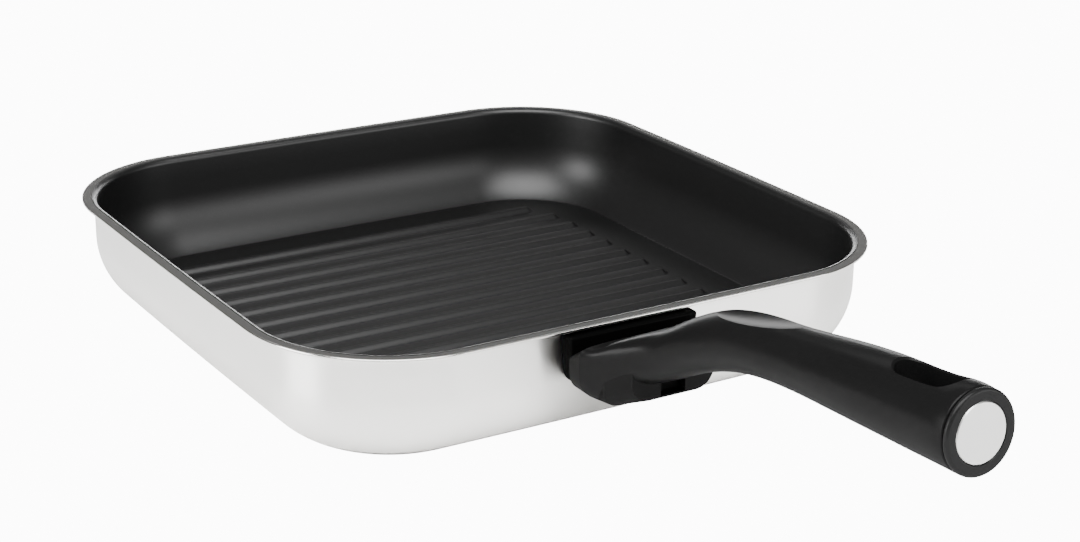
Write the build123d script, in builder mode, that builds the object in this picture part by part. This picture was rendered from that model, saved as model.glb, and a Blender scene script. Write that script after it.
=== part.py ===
from build123d import *
import os
from math import atan2, cos, pi, radians, sin, sqrt, tan

# A square grill pan with a plug-on handle.
# Lengths are in millimetres. The origin is the centre of the pan's flat underside, +Z is up,
# and the handle points along -Y.
os.makedirs("parts", exist_ok=True)

# Shared clearances
overrun = 1.0            # how far a cut runs past the face that it opens
rest_gap = 0.1           # between seated pieces of one body
slide_gap = 0.3          # between pieces that slide past each other
screw_gap = 0.05         # round a screw's shank

# Pan
pan_width = 281.0        # across the rim, middle of one side to the middle of the other
pan_height = 52.0
rim_corner = 61.0        # corner radius of the rim, seen from above
side_bow = 1.2           # how far each side of the rim bulges
lip_width = 5.0          # how far the lip stands out from the wall
lip_shoulder = 2.5       # inside bend from the wall to the lip
sheet = 1.2              # thickness of the pressed steel
wall_fillet = 34.0       # outside bend from the wall to the bottom
floor_height = 8.0       # cooking floor above the table
cap_sheet = 0.8          # thickness of the base cap

# Grill ribs
rib_pitch = 15.3
rib_side_margin = 21.0   # least distance from the outer ribs' middle to the edge of the floor
rib_width = 5.0
rib_height = 2.4
rib_rounding = 1.7
rib_margin = 20.0        # from a rib's end to the edge of the floor
floor_corner = 46.0      # corner radius of the floor's edge

# Bracket on the front wall
handle_x = -8.0          # the handle stands a little left of the pan's middle
bracket_width = 58.5
bracket_taper = 2.0      # how much each side draws in towards the bottom
bracket_height = 21.2
bracket_depth = 6.7      # from the wall to the bracket's face
bracket_drop = 2.6       # from the rim down to the bracket's top
bracket_corner = 7.0
bracket_edge = 1.2

# Steel mount inside the bracket
mount_ear = 9.0          # how far the mount stands out on each side of the tongue
mount_height = 17.4
mount_sheet = 2.5
mount_drop = 1.4         # from the bracket's top to the mount's top
tongue_width = 30.0
tongue_sheet = 4.0
tongue_drop = 11.4       # from the bracket's top to the middle of the tongue
tongue_reach = 15.6      # how far the tongue stands out of the bracket's face
tongue_corner = 3.0

# Rivets
rivet_count = 3
rivet_pitch = 19.0
rivet_radius = 2.4
rivet_head_radius = 4.5
rivet_head_height = 1.8
rivet_tail_radius = 3.4
rivet_tail_height = 1.2
rivet_below_top = 3.8    # from the mount's top edge down to the rivets

# Screws of the bracket and of the socket frame
screw_radius = 1.5
screw_head_radius = 2.8
screw_head_height = 1.5
screw_drop = 4.0         # below the tongue's middle
drive_radius = 0.8       # hexagon recess in a screw's head
drive_depth = 0.9

# Handle moulding
hub_gap = 0.4            # between the bracket's face and the hub
hub_width = 60.0
hub_height = 22.4
hub_drop = 3.6           # from the rim down to the hub's top edge
hub_depth = 6.9
hub_upper_slope = 4.4    # how far the hub's top falls towards its back
hub_lower_slope = 1.0    # how far the hub's underside rises towards its back
hub_edge = 0.5           # bevel round the hub's back
handle_run = 176.4       # from the hub's front to the end of the moulding
handle_rise = 39.8       # from the middle of the hub to the middle of the grip's end
grip_diameter = 28.8
grip_tilt = 5.0          # slope of the grip at its end, in degrees
grip_edge = 0.7          # rounding of the grip's end

# Sections of the neck and grip. Along follows handle_run, rise follows handle_rise, depth and width
# follow grip_diameter, fan follows what the hub is wider than the grip, and tilt follows grip_tilt.
# Waist is the share of a section's depth that lies above its widest level. Fullness is 0 for a round
# section and 1 for the squarest one, for its upper and its lower part.
# along, rise, depth, width, fan, waist, upper fullness, lower fullness, tilt
neck_shares = (
    (0.036, 0.053, 0.826, 1.000, 0.74, 0.31, 0.80, 0.84, 0.0),
    (0.082, 0.186, 0.764, 1.000, 0.45, 0.40, 0.60, 0.60, 0.0),
    (0.139, 0.317, 0.764, 0.982, 0.19, 0.47, 0.40, 0.35, 0.0),
    (0.207, 0.490, 0.802, 0.955, 0.07, 0.50, 0.25, 0.15, 0.0),
    (0.286, 0.646, 0.802, 0.934, 0.01, 0.50, 0.12, 0.05, 0.0),
    (0.365, 0.749, 0.781, 0.875, 0.00, 0.50, 0.05, 0.00, 0.2),
    (0.485, 0.824, 0.757, 0.816, 0.00, 0.50, 0.00, 0.00, 0.5),
    (0.649, 0.900, 0.854, 0.913, 0.00, 0.50, 0.00, 0.00, 0.8),
    (0.808, 0.952, 0.938, 0.965, 0.00, 0.50, 0.00, 0.00, 0.9),
    (0.910, 0.978, 0.970, 0.984, 0.00, 0.50, 0.00, 0.00, 1.0),
    (1.000, 1.000, 1.000, 1.000, 0.00, 0.50, 0.00, 0.00, 1.0),
)
hub_shares = (0.22, 0.95, 0.85)  # waist, upper fullness, lower fullness

# Thumb rest and hanging slot
rest_middle = 70.0       # from the hub's front to the middle of the thumb rest
rest_length = 52.0
rest_width = 22.0
rest_depth = 2.6
slot_length = 28.0
slot_width = 13.0
slot_corner = 4.6        # corner radius at the slot's outer end
slot_edge = 0.8          # bevel round the slot
slot_middle = 21.0       # from the moulding's end to the middle of the slot

# Socket frame in the hub
frame_wall = 1.5
frame_length = 18.4
frame_ear = 7.2          # how far the flange stands out on each side of the frame
frame_flange_height = 9.6
frame_screw_length = 10.0

# Tang: a steel strip welded on the frame, which runs up inside the grip
tang_width = 16.0
tang_sheet = 3.0
tang_overlap = 8.0       # how far the tang lies on the frame
tang_lead = 2.0          # from the frame's end to the tang's first bend
tang_bend = 9.0
tang_hole_radius = 3.5
tang_run_shares = (0.31, 0.56)     # of handle_run: its second bend and its end
tang_rise_shares = (0.665, 0.812)  # of handle_rise: the same two places
tang_hole_shares = (0.14, 0.24, 0.40, 0.50)  # of handle_run

# Latch
latch_reach = 25.4       # from the hub's back to the latch cover's face
latch_lift = 4.0         # how far the cover's underside rises towards its face
latch_lift_run = 10.0    # length of that rise
latch_seam = 2.4         # height of the cover under the moulding
latch_back = 4.8         # from the hub's back to the cover
latch_wall = 1.3
latch_face_wall = 4.5
latch_widths = (50.0, 48.0, 37.0)  # at the cover's back, where its underside starts to rise, at its face
latch_rounds = (4.0, 6.0, 8.0)     # lower corner radii at the same three places
latch_top_shares = (0.27, 0.35, 0.44)  # of hub_height, from the hub's middle up to the cover's hidden top
chamber_width = 15.2
chamber_back = 6.6       # from the hub's back to the chamber
latch_travel = 2.0
bolt_width = 14.0
bolt_length = 7.6
bolt_nose_width = 7.6
bolt_nose_length = 5.4
bolt_inset = 0.4         # from the chamber's back to the bolt
bolt_seat_radius = 1.9   # of the spring's bore
bolt_seat_depth = 3.4
keeper_gap = 0.6         # between the bolt's nose and the tongue's window
spring_gap = 0.2         # between the spring and its bore
spring_wire_radius = 0.25
spring_turns = 5
button_width = 10.4
button_height = 5.0
button_recess = 3.0      # behind the cover's face
button_plate = 1.6
button_bar = 1.6         # thickness of the bar between the arms
button_lift = 1.1        # from the lower edge of the cover's face to the button
arm_height = 3.0
arm_tip = 0.5
arm_outer_width = 14.4
arm_inner_width = 8.6
cover_screw_spread = 12.6
cover_screw_back = 10.4  # from the hub's back
cover_screw_length = 7.4

# End of the grip
cap_length = 2.3
cap_edge = 1.2
cap_back_edge = 0.5
cap_groove = 0.4         # groove between the moulding and the cap
cap_groove_depth = 1.0
cap_spigot_radius = 10.0
cap_spigot_length = 3.0
disc_radius = 10.2
disc_height = 1.2
disc_dome = 0.3          # how far the disc stands out of the cap

# Places worked out from the sizes
wall_front = -(pan_width / 2 - lip_width)
bracket_face = wall_front - bracket_depth
bracket_top = pan_height - bracket_drop
bracket_bottom = bracket_top - bracket_height
mount_back = wall_front - rest_gap
mount_face = mount_back - mount_sheet
mount_top = bracket_top - mount_drop
rivet_level = mount_top - rivet_below_top
tongue_level = bracket_top - tongue_drop
mount_width = tongue_width + 2 * mount_ear
mount_screw_spread = (tongue_width + mount_ear) / 2
screw_level = tongue_level - screw_drop
hub_back = bracket_face - hub_gap
hub_front = hub_back - hub_depth
hub_top = pan_height - hub_drop
hub_bottom = hub_top - hub_height
hub_middle = hub_top - hub_height / 2
tongue_end = bracket_face - tongue_reach
tongue_bottom = tongue_level - tongue_sheet / 2
frame_inner_width = tongue_width + 2 * slide_gap
frame_inner_height = tongue_sheet + 2 * slide_gap
frame_outer_width = frame_inner_width + 2 * frame_wall
frame_outer_height = frame_inner_height + 2 * frame_wall
frame_flange_width = frame_outer_width + 2 * frame_ear
frame_screw_spread = (frame_outer_width + frame_ear) / 2
frame_top = tongue_level + frame_outer_height / 2
frame_bottom = tongue_level - frame_outer_height / 2
frame_end = hub_back - frame_length
latch_start = hub_back - latch_back
latch_face = hub_back - latch_reach
latch_rise_start = latch_face + latch_lift_run
latch_front_level = hub_bottom + latch_lift
chamber_start = hub_back - chamber_back
chamber_end = latch_face + latch_face_wall
chamber_floor = hub_bottom + latch_wall
bolt_back = chamber_start - bolt_inset
bolt_middle = bolt_back - bolt_length / 2
bolt_front = bolt_back - bolt_length
bolt_bottom = chamber_floor + latch_travel + slide_gap
arm_top = frame_bottom - slide_gap
arm_start = bolt_back - latch_travel
button_face = latch_face + button_recess
button_bottom = latch_front_level + button_lift
grip_end = hub_front - handle_run
end_middle = hub_middle + handle_rise
end_tilt = radians(grip_tilt)
end_plane = Plane(
    origin=(handle_x, grip_end, end_middle),
    x_dir=(1, 0, 0),
    z_dir=(0, -cos(end_tilt), sin(end_tilt)),
)


def outline(inset):
    """The rim seen from above, drawn in by an inset: a square with bowed sides and round corners."""
    half = pan_width / 2 - side_bow - inset
    corners = [(half, half), (-half, half), (-half, -half), (half, -half)]
    with BuildSketch() as plan:
        with BuildLine():
            for start, end in zip(corners, corners[1:] + corners[:1]):
                SagittaArc(start, end, -side_bow)
        make_face()
        fillet(plan.vertices(), rim_corner - inset)
    return plan.sketch


def bowl(depth):
    """The pan's outer form up to the rim, without its lip, shrunk all round by a depth."""
    with BuildPart() as form:
        with BuildSketch(Plane.XY.offset(depth)):
            add(outline(lip_width + depth))
        extrude(amount=pan_height - depth)
        fillet(form.faces().sort_by(Axis.Z)[0].edges(), wall_fillet - depth)
    return form.part


def facing(y):
    """A sketch plane across the handle: x to the right, z up, seen from the grip, at the place y."""
    return Plane(origin=(0, y, 0), x_dir=(1, 0, 0), z_dir=(0, -1, 0))


def side(x):
    """A sketch plane along the handle: y and z, facing +X, at the place x."""
    return Plane.YZ.offset(x)


def oval(plane, width, depth, waist, upper, lower):
    """A closed section from four curves that meet level and upright, rounder or squarer by its fullness."""
    round_share = 4 / 3 * tan(pi / 8)
    widest = depth * (1 / 2 - waist)
    with BuildSketch(plane) as section:
        with BuildLine():
            for end, fullness in ((depth / 2, upper), (-depth / 2, lower)):
                reach = round_share + (1 - round_share) * fullness
                for run in (width / 2, -width / 2):
                    Bezier((0, end), (run * reach, end), (run, widest + (end - widest) * reach), (run, widest))
        make_face()
    return section.sketch


def screw(plane, radius, length, head_radius, head_height):
    """A countersunk screw: its head's face lies on the plane, and its shank runs against the normal."""
    with BuildPart() as body:
        with BuildSketch(plane.offset(-length)):
            Circle(radius)
        extrude(amount=length)
        with BuildSketch(plane):
            Circle(head_radius)
        with BuildSketch(plane.offset(-head_height)):
            Circle(radius)
        loft()
        with BuildSketch(plane):
            RegularPolygon(drive_radius, 6)
        extrude(amount=-drive_depth, mode=Mode.SUBTRACT)
    return body.part


def screw_hole(plane, radius, length, head_radius, head_height):
    """The hole that a countersunk screw of these sizes seats in."""
    with BuildPart() as body:
        with BuildSketch(plane.offset(-length - overrun)):
            Circle(radius + screw_gap)
        extrude(amount=length + overrun)
        with BuildSketch(plane):
            Circle(head_radius + screw_gap)
        with BuildSketch(plane.offset(-head_height)):
            Circle(radius + screw_gap)
        loft()
    return body.part


def save(piece, name):
    """Label a finished piece and write it under its node's name."""
    piece.part.label = name
    export_step(piece.part, f"parts/{name}.step")
    print(f"{name}: {len(piece.part.solids())} solid(s), {piece.part.volume:.1f} mm3")


# Base: cap and core
core_top = floor_height - sheet
outer_form = bowl(0)

with BuildPart() as heat_core:
    add(bowl(cap_sheet))
    split(bisect_by=Plane.XY.offset(core_top), keep=Keep.BOTTOM)

with BuildPart() as base_cap:
    add(outer_form)
    split(bisect_by=Plane.XY.offset(core_top), keep=Keep.BOTTOM)
    add(heat_core.part, mode=Mode.SUBTRACT)

# Pan body: pressed steel with its lip and ribs, and the rivets' holes
with BuildPart() as cavity:
    add(bowl(sheet))
    split(bisect_by=Plane.XY.offset(floor_height), keep=Keep.TOP)

rivet_row = [(handle_x + (i - (rivet_count - 1) / 2) * rivet_pitch, rivet_level) for i in range(rivet_count)]
floor_half = cavity.faces().sort_by(Axis.Z)[0].bounding_box().max.X
floor_straight = floor_half - floor_corner
rib_count = int(2 * (floor_half - rib_side_margin) / rib_pitch) + 1


def rib_length(y):
    """Length of the rib at y, which keeps its margin from the floor's rounded edge."""
    past = max(0, abs(y) - floor_straight)
    return 2 * (floor_straight + sqrt(floor_corner**2 - past**2) - rib_margin)


with BuildPart() as pan_body:
    add(outer_form)
    split(bisect_by=Plane.XY.offset(core_top), keep=Keep.TOP)
    with BuildSketch(Plane.XY.offset(pan_height - sheet)):
        add(outline(0))
    extrude(amount=sheet)
    add(cavity.part, mode=Mode.SUBTRACT)
    rim_face = pan_body.faces().sort_by(Axis.Z)[-1]
    fillet(rim_face.inner_wires()[0].edges(), lip_shoulder)
    under_lip = pan_body.faces().filter_by(Axis.Z).sort_by(Axis.Z)[-2]
    fillet(under_lip.inner_wires()[0].edges(), lip_shoulder - sheet)
    for i in range(rib_count):
        rib_y = (i - (rib_count - 1) / 2) * rib_pitch
        with BuildSketch(Plane.XY.offset(floor_height)):
            with Locations((0, rib_y)):
                SlotOverall(rib_length(rib_y), rib_width)
        extrude(amount=rib_height)
    rib_tops = pan_body.faces().filter_by(Axis.Z).group_by(Axis.Z)[2]
    fillet(rib_tops.edges(), rib_rounding)
    with BuildSketch(facing(wall_front)):
        with Locations(*rivet_row):
            Circle(rivet_radius + screw_gap)
    extrude(amount=sheet + overrun, both=True, mode=Mode.SUBTRACT)

# Steel mount: a plate against the wall, and the tongue that carries the handle
screw_places = [
    (handle_x - mount_screw_spread, screw_level),
    (handle_x + mount_screw_spread, screw_level),
]

with BuildPart() as mount_tongue:
    with BuildSketch(facing(mount_back)):
        with Locations((handle_x, mount_top - mount_height / 2)):
            RectangleRounded(mount_width, mount_height, tongue_corner)
        with Locations(*rivet_row):
            Circle(rivet_radius + screw_gap, mode=Mode.SUBTRACT)
        with Locations(*screw_places):
            Circle(screw_radius + screw_gap, mode=Mode.SUBTRACT)
    extrude(amount=mount_sheet)
    with BuildSketch(Plane.XY.offset(tongue_bottom)):
        with Locations((handle_x, (mount_face + tongue_end) / 2)):
            Rectangle(tongue_width, mount_face - tongue_end)
    extrude(amount=tongue_sheet)
    with BuildSketch(Plane.XY.offset(tongue_bottom)):
        with Locations((handle_x, bolt_middle)):
            Rectangle(bolt_nose_width + 2 * keeper_gap, bolt_nose_length + 2 * keeper_gap)
    extrude(amount=tongue_sheet, mode=Mode.SUBTRACT)
    fillet(mount_tongue.edges().filter_by(Axis.Z).group_by(Axis.Y)[0], tongue_corner)

# Rivets: a domed head inside the pan, a shank, and a flat tail on the mount
inner_wall = wall_front + sheet + rest_gap
with BuildPart() as bracket_rivets:
    for rivet_x, rivet_z in rivet_row:
        with BuildSketch(side(rivet_x)):
            with BuildLine():
                head_top = (inner_wall + rivet_head_height, rivet_z)
                head_rim = (inner_wall, rivet_z + rivet_head_radius)
                dome = (inner_wall + rivet_head_height * sin(pi / 4), rivet_z + rivet_head_radius * cos(pi / 4))
                ThreePointArc(head_top, dome, head_rim)
                Polyline(
                    head_rim,
                    (inner_wall, rivet_z + rivet_radius),
                    (mount_face, rivet_z + rivet_radius),
                    (mount_face, rivet_z + rivet_tail_radius),
                    (mount_face - rivet_tail_height, rivet_z + rivet_tail_radius),
                    (mount_face - rivet_tail_height, rivet_z),
                    head_top,
                )
            make_face()
        revolve(axis=Axis((rivet_x, 0, rivet_z), (0, 1, 0)))

# Bracket housing: a black block that covers the mount and follows the pan's wall
pocket_width = mount_width + 2 * rest_gap
pocket_height = mount_height + 2 * rest_gap
bracket_screw_length = mount_back - bracket_face - rest_gap
bracket_plane = facing(bracket_face)

with BuildPart() as wall_clearance:
    add(bowl(-rest_gap))

with BuildPart() as bracket_housing:
    with BuildSketch(facing(bracket_face + bracket_depth + sheet)) as bracket_plan:
        with BuildLine():
            Polyline(
                (handle_x - bracket_width / 2, bracket_top),
                (handle_x + bracket_width / 2, bracket_top),
                (handle_x + bracket_width / 2 - bracket_taper, bracket_bottom),
                (handle_x - bracket_width / 2 + bracket_taper, bracket_bottom),
                close=True,
            )
        make_face()
        fillet(bracket_plan.vertices().group_by(Axis.Y)[0], bracket_corner)
        fillet(bracket_plan.vertices().group_by(Axis.Y)[-1], bracket_edge)
    extrude(amount=bracket_depth + sheet)
    fillet(bracket_housing.faces().sort_by(Axis.Y)[0].edges(), bracket_edge)
    add(wall_clearance.part, mode=Mode.SUBTRACT)
    with BuildSketch(facing(mount_back + sheet)):
        with Locations((handle_x, mount_top - mount_height / 2)):
            RectangleRounded(pocket_width, pocket_height, tongue_corner)
    extrude(amount=sheet + mount_sheet + rest_gap, mode=Mode.SUBTRACT)
    with BuildSketch(facing(mount_face)):
        with Locations(*rivet_row):
            Circle(rivet_tail_radius + rest_gap)
    extrude(amount=rivet_tail_height + rest_gap, mode=Mode.SUBTRACT)
    with BuildSketch(facing(mount_face)):
        with Locations((handle_x, tongue_level)):
            Rectangle(tongue_width + 2 * rest_gap, tongue_sheet + 2 * rest_gap)
    extrude(amount=bracket_depth, mode=Mode.SUBTRACT)
    for place in screw_places:
        hole_plane = Plane(origin=(place[0], bracket_face, place[1]), x_dir=(1, 0, 0), z_dir=(0, -1, 0))
        add(
            screw_hole(hole_plane, screw_radius, bracket_screw_length, screw_head_radius, screw_head_height),
            mode=Mode.SUBTRACT,
        )

with BuildPart() as bracket_screws:
    for place in screw_places:
        head_plane = Plane(origin=(place[0], bracket_face, place[1]), x_dir=(1, 0, 0), z_dir=(0, -1, 0))
        add(screw(head_plane, screw_radius, bracket_screw_length, screw_head_radius, screw_head_height))

# Socket frame: a steel sleeve that slides over the tongue, with a flange in the hub's back
frame_screw_places = [
    (handle_x - frame_screw_spread, tongue_level),
    (handle_x + frame_screw_spread, tongue_level),
]


def frame_screw_plane(place):
    """The face of a screw's head in the flange."""
    return Plane(origin=(place[0], hub_back, place[1]), x_dir=(1, 0, 0), z_dir=(0, 1, 0))


with BuildPart() as socket_frame:
    with BuildSketch(facing(hub_back)):
        with Locations((handle_x, tongue_level)):
            RectangleRounded(frame_flange_width, frame_flange_height, frame_wall)
    extrude(amount=frame_wall)
    with BuildSketch(facing(hub_back)):
        with Locations((handle_x, tongue_level)):
            Rectangle(frame_outer_width, frame_outer_height)
    extrude(amount=frame_length)
    with BuildSketch(facing(hub_back)):
        with Locations((handle_x, tongue_level)):
            Rectangle(frame_inner_width, frame_inner_height)
    extrude(amount=frame_length - frame_wall, mode=Mode.SUBTRACT)
    with BuildSketch(Plane.XY.offset(frame_bottom)):
        with Locations((handle_x, bolt_middle)):
            Rectangle(bolt_nose_width + 2 * slide_gap, bolt_nose_length + 2 * slide_gap)
    extrude(amount=frame_wall, mode=Mode.SUBTRACT)
    for place in frame_screw_places:
        hole = screw_hole(frame_screw_plane(place), screw_radius, frame_screw_length, screw_head_radius, frame_wall)
        add(hole, mode=Mode.SUBTRACT)

with BuildPart() as frame_screws:
    for place in frame_screw_places:
        add(screw(frame_screw_plane(place), screw_radius, frame_screw_length, screw_head_radius, frame_wall))

# Tang: the strip follows its middle line, which is given a thickness
tang_level = frame_top + tang_sheet / 2
tang_points = [(frame_end + tang_overlap, tang_level), (frame_end - tang_lead, tang_level)]
for run_share, rise_share in zip(tang_run_shares, tang_rise_shares):
    tang_points.append((hub_front - handle_run * run_share, hub_middle + handle_rise * rise_share))

with BuildPart() as handle_tang:
    with BuildSketch(side(handle_x)):
        with BuildLine() as tang_line:
            FilletPolyline(*tang_points, radius=tang_bend)
        trace(line_width=tang_sheet)
    extrude(amount=tang_width / 2, both=True)
    with BuildSketch(Plane.XY.offset(tang_level)):
        for hole_share in tang_hole_shares:
            with Locations((handle_x, hub_front - handle_run * hole_share)):
                Circle(tang_hole_radius)
    extrude(until=Until.LAST, mode=Mode.SUBTRACT)

# Moulding: the hub block, and the neck and grip lofted from it
neck_sections = []
for along, rise, depth, width, fan, waist, upper, lower, tilt in neck_shares:
    neck_sections.append(
        (
            hub_front - handle_run * along,
            hub_middle + handle_rise * rise,
            end_tilt * tilt,
            grip_diameter * width + (hub_width - grip_diameter) * fan,
            grip_diameter * depth,
            waist,
            upper,
            lower,
        )
    )
crest = [(hub_front, hub_top)] + [(y, z + depth / 2) for y, z, tilt, width, depth, *shape in neck_sections]


def crest_level(y):
    """Height of the moulding's crest at y, taken straight between the sections."""
    for (near_y, near_z), (far_y, far_z) in zip(crest, crest[1:]):
        if y >= far_y:
            break
    return near_z + (far_z - near_z) * (y - near_y) / (far_y - near_y)


with BuildPart() as hub_block:
    back_top = hub_top - hub_upper_slope
    back_bottom = hub_bottom + hub_lower_slope
    back_height = back_top - back_bottom
    back_plane = facing(hub_back).shift_origin((handle_x, hub_back, (back_top + back_bottom) / 2))
    hub_plane = facing(hub_front).shift_origin((handle_x, hub_front, hub_middle))
    hub_section = oval(hub_plane, hub_width, hub_height, *hub_shares)
    back_face = oval(back_plane, hub_width - 2 * hub_edge, back_height - 2 * hub_edge, *hub_shares)
    back_section = oval(back_plane.offset(hub_edge), hub_width, back_height, *hub_shares)
    loft([back_face, back_section, hub_section], ruled=True)

with BuildPart() as moulding:
    sections = [hub_section]
    for y, z, tilt, width, depth, waist, upper, lower in neck_sections:
        section_plane = Plane(origin=(handle_x, y, z), x_dir=(1, 0, 0), z_dir=(0, -cos(tilt), sin(tilt)))
        sections.append(oval(section_plane, width, depth, waist, upper, lower))
    loft(sections)
    fillet(moulding.faces().sort_by(Axis.Y)[0].edges(), grip_edge)
    add(hub_block.part)

# Space of the latch cover, and of the latch inside it
latch_places = ((latch_start, hub_bottom), (latch_rise_start, hub_bottom), (latch_face, latch_front_level))

with BuildPart() as latch_form:
    for (y, low), width, corner, top_share in zip(latch_places, latch_widths, latch_rounds, latch_top_shares):
        high = hub_middle + hub_height * top_share
        with BuildSketch(facing(y)) as latch_section:
            with Locations((handle_x, (low + high) / 2)):
                Rectangle(width, high - low)
            fillet(latch_section.vertices().group_by(Axis.Y)[0], corner)
    loft(ruled=True)

with BuildPart() as latch_seat:
    with BuildSketch(Plane.XY.offset(hub_bottom - overrun)):
        with Locations((handle_x, (latch_start + latch_face) / 2)):
            Rectangle(latch_widths[0], latch_start - latch_face)
    extrude(amount=overrun + latch_seam)

with BuildPart() as chamber:
    with BuildSketch(side(handle_x)):
        with BuildLine():
            floor_end = chamber_floor + latch_lift * (latch_rise_start - chamber_end) / latch_lift_run
            Polyline(
                (chamber_start, frame_bottom),
                (chamber_start, chamber_floor),
                (latch_rise_start, chamber_floor),
                (chamber_end, floor_end),
                (chamber_end, frame_bottom),
                close=True,
            )
        make_face()
    extrude(amount=chamber_width / 2, both=True)

with BuildPart() as button_way:
    with BuildSketch(facing(frame_end)):
        with Locations((handle_x, button_bottom + button_height / 2)):
            Rectangle(button_width + 2 * slide_gap, button_height + 2 * slide_gap)
    extrude(amount=frame_end - latch_face + overrun)

cover_screw_places = [
    (handle_x - cover_screw_spread, hub_back - cover_screw_back),
    (handle_x + cover_screw_spread, hub_back - cover_screw_back),
]


def cover_screw_plane(place):
    """The face of a screw's head in the latch cover's underside."""
    return Plane(origin=(place[0], place[1], hub_bottom), x_dir=(1, 0, 0), z_dir=(0, 0, -1))


with BuildPart() as cover_screws:
    for place in cover_screw_places:
        add(screw(cover_screw_plane(place), screw_radius, cover_screw_length, screw_head_radius, screw_head_height))

with BuildPart() as cover_screw_holes:
    for place in cover_screw_places:
        add(
            screw_hole(
                cover_screw_plane(place),
                screw_radius,
                cover_screw_length,
                screw_head_radius,
                screw_head_height,
            )
        )

# Thumb rest: a shallow scoop along the crest
rest_near = hub_front - rest_middle + rest_length / 2
rest_slope = atan2(crest_level(rest_near - rest_length) - crest_level(rest_near), rest_length)
rest_plane = Plane(
    origin=(handle_x, hub_front - rest_middle, crest_level(hub_front - rest_middle)),
    x_dir=(1, 0, 0),
    z_dir=(0, sin(rest_slope), cos(rest_slope)),
)

with BuildPart() as rest_form:
    Sphere(rest_width / 2)
    scale(by=(1, rest_length / rest_width, 2 * rest_depth / rest_width))

# Grip body: the moulding with everything that is let into it
slot_place = end_plane.offset(-slot_middle)
slot_plane = Plane(origin=slot_place.origin, x_dir=(1, 0, 0), z_dir=(0, sin(end_tilt), cos(end_tilt)))

with BuildPart() as shell:
    add(moulding.part)
    add(latch_seat.part, mode=Mode.SUBTRACT)

with BuildPart() as grip_body:
    add(shell.part)
    with BuildSketch(slot_plane) as slot_plan:
        Rectangle(slot_width, slot_length)
        fillet(slot_plan.vertices().group_by(Axis.Y)[-1], slot_width / 2 - rest_gap)
        fillet(slot_plan.vertices().group_by(Axis.Y)[0], slot_corner)
    extrude(amount=grip_diameter, both=True, mode=Mode.SUBTRACT)
    chamfer(grip_body.edges(Select.LAST).filter_by(GeomType.LINE, reverse=True), slot_edge)
    with Locations(rest_plane):
        add(rest_form.part, mode=Mode.SUBTRACT)
    with BuildSketch(end_plane):
        Circle(cap_spigot_radius + rest_gap)
    extrude(amount=-cap_spigot_length - rest_gap, mode=Mode.SUBTRACT)
    with BuildSketch(facing(hub_back)):
        with Locations((handle_x, tongue_level)):
            RectangleRounded(
                frame_flange_width + 2 * rest_gap,
                frame_flange_height + 2 * rest_gap,
                frame_wall,
            )
    extrude(amount=frame_wall + rest_gap, mode=Mode.SUBTRACT)
    with BuildSketch(facing(hub_back)):
        with Locations((handle_x, tongue_level)):
            Rectangle(frame_outer_width + 2 * rest_gap, frame_outer_height + 2 * rest_gap)
    extrude(amount=frame_length + rest_gap, mode=Mode.SUBTRACT)
    add(handle_tang.part, mode=Mode.SUBTRACT)
    add(chamber.part, mode=Mode.SUBTRACT)
    add(button_way.part, mode=Mode.SUBTRACT)
    add(cover_screw_holes.part, mode=Mode.SUBTRACT)
    for place in frame_screw_places:
        hole = screw_hole(frame_screw_plane(place), screw_radius, frame_screw_length, screw_head_radius, frame_wall)
        add(hole, mode=Mode.SUBTRACT)

# Latch cover
with BuildPart() as latch_cover:
    add(latch_form.part)
    add(shell.part, mode=Mode.SUBTRACT)
    add(chamber.part, mode=Mode.SUBTRACT)
    add(button_way.part, mode=Mode.SUBTRACT)
    add(cover_screw_holes.part, mode=Mode.SUBTRACT)

# Latch bolt: a nose on a block, with a ramp on each side that the button's arms press on
with BuildPart() as latch_bolt:
    with BuildSketch(side(handle_x)):
        with BuildLine():
            ramp_top = arm_top
            ramp_high = arm_top - arm_tip - slide_gap
            ramp_low = arm_top - arm_height - slide_gap
            Polyline(
                (bolt_back, bolt_bottom),
                (bolt_back, ramp_top),
                (arm_start + ramp_top - ramp_high, ramp_top),
                (arm_start - ramp_high + ramp_low, ramp_low),
                (bolt_front, ramp_low),
                (bolt_front, bolt_bottom),
                close=True,
            )
        make_face()
    extrude(amount=bolt_width / 2, both=True)
    with BuildSketch(Plane.XY.offset(bolt_bottom)):
        with Locations((handle_x, bolt_middle)):
            Rectangle(bolt_nose_width, bolt_length)
    extrude(amount=arm_top - bolt_bottom)
    with BuildSketch(Plane.XY.offset(bolt_bottom)):
        with Locations((handle_x, bolt_middle)):
            Rectangle(bolt_nose_width, bolt_nose_length)
    extrude(amount=tongue_bottom - slide_gap - bolt_bottom)
    with BuildSketch(Plane.XY.offset(bolt_bottom)):
        with Locations((handle_x, bolt_middle)):
            Circle(bolt_seat_radius)
    extrude(amount=bolt_seat_depth, mode=Mode.SUBTRACT)

# Spring under the bolt: flat end turns with a rising helix between them
spring_radius = bolt_seat_radius - spring_gap - spring_wire_radius
spring_height = bolt_bottom + bolt_seat_depth - chamber_floor
spring_rise = spring_height - 2 * spring_wire_radius
with BuildPart() as bolt_spring:
    with BuildLine(Plane(origin=(handle_x, bolt_middle, chamber_floor + spring_wire_radius))) as spring_line:
        Helix(pitch=spring_rise / spring_turns, height=spring_rise, radius=spring_radius)
    with BuildSketch(Plane(origin=spring_line.line @ 0, z_dir=spring_line.line % 0)):
        Circle(spring_wire_radius)
    sweep()

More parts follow.
